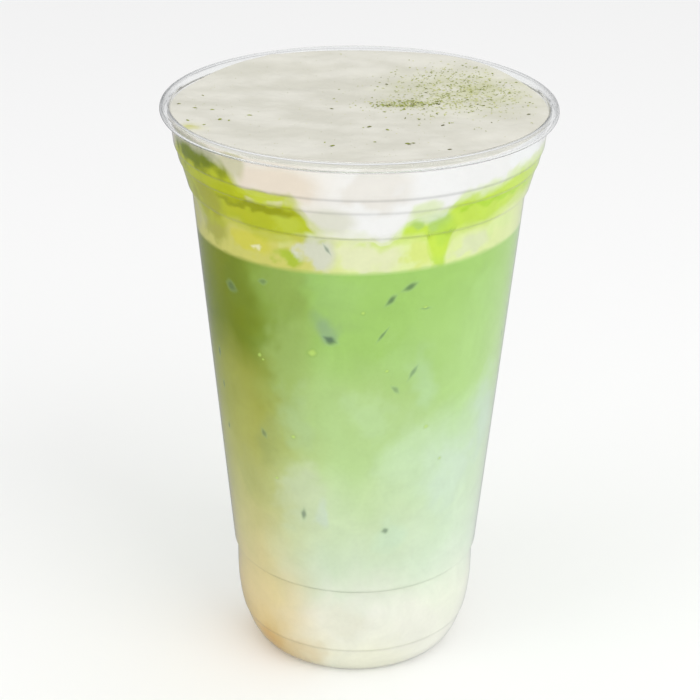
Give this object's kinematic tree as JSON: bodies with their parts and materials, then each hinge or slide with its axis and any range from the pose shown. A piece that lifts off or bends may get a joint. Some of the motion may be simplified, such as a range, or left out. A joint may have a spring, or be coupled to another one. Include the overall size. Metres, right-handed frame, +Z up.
{
  "type": "iced matcha latte in a clear cup",
  "caption": "Iced matcha latte in a clear takeaway cup: white milk, milky green drink, pale cream and bright matcha under a thick milk foam.",
  "frame": {"origin": "centre of the ring that the cup stands on, on the table", "axes": "+Z up along the cup's axis, the side that the picture shows faces -Y, +X to its right"},
  "size_m": [0.098, 0.098, 0.15],
  "materials": {
    "clear_cup": "thin clear PET, glossy",
    "milk": "opaque pale milk",
    "matcha_milk": "opaque milky green drink",
    "cream": "opaque pale cream",
    "matcha": "bright matcha",
    "foam": "soft matte milk foam",
    "powder": "dry green tea powder"
  },
  "bodies": {
    "root": {"cup": "clear_cup", "milk": "milk", "matcha_milk": "matcha_milk", "cream": "cream", "matcha": "matcha", "foam": "foam"}
  },
  "joints": []
}
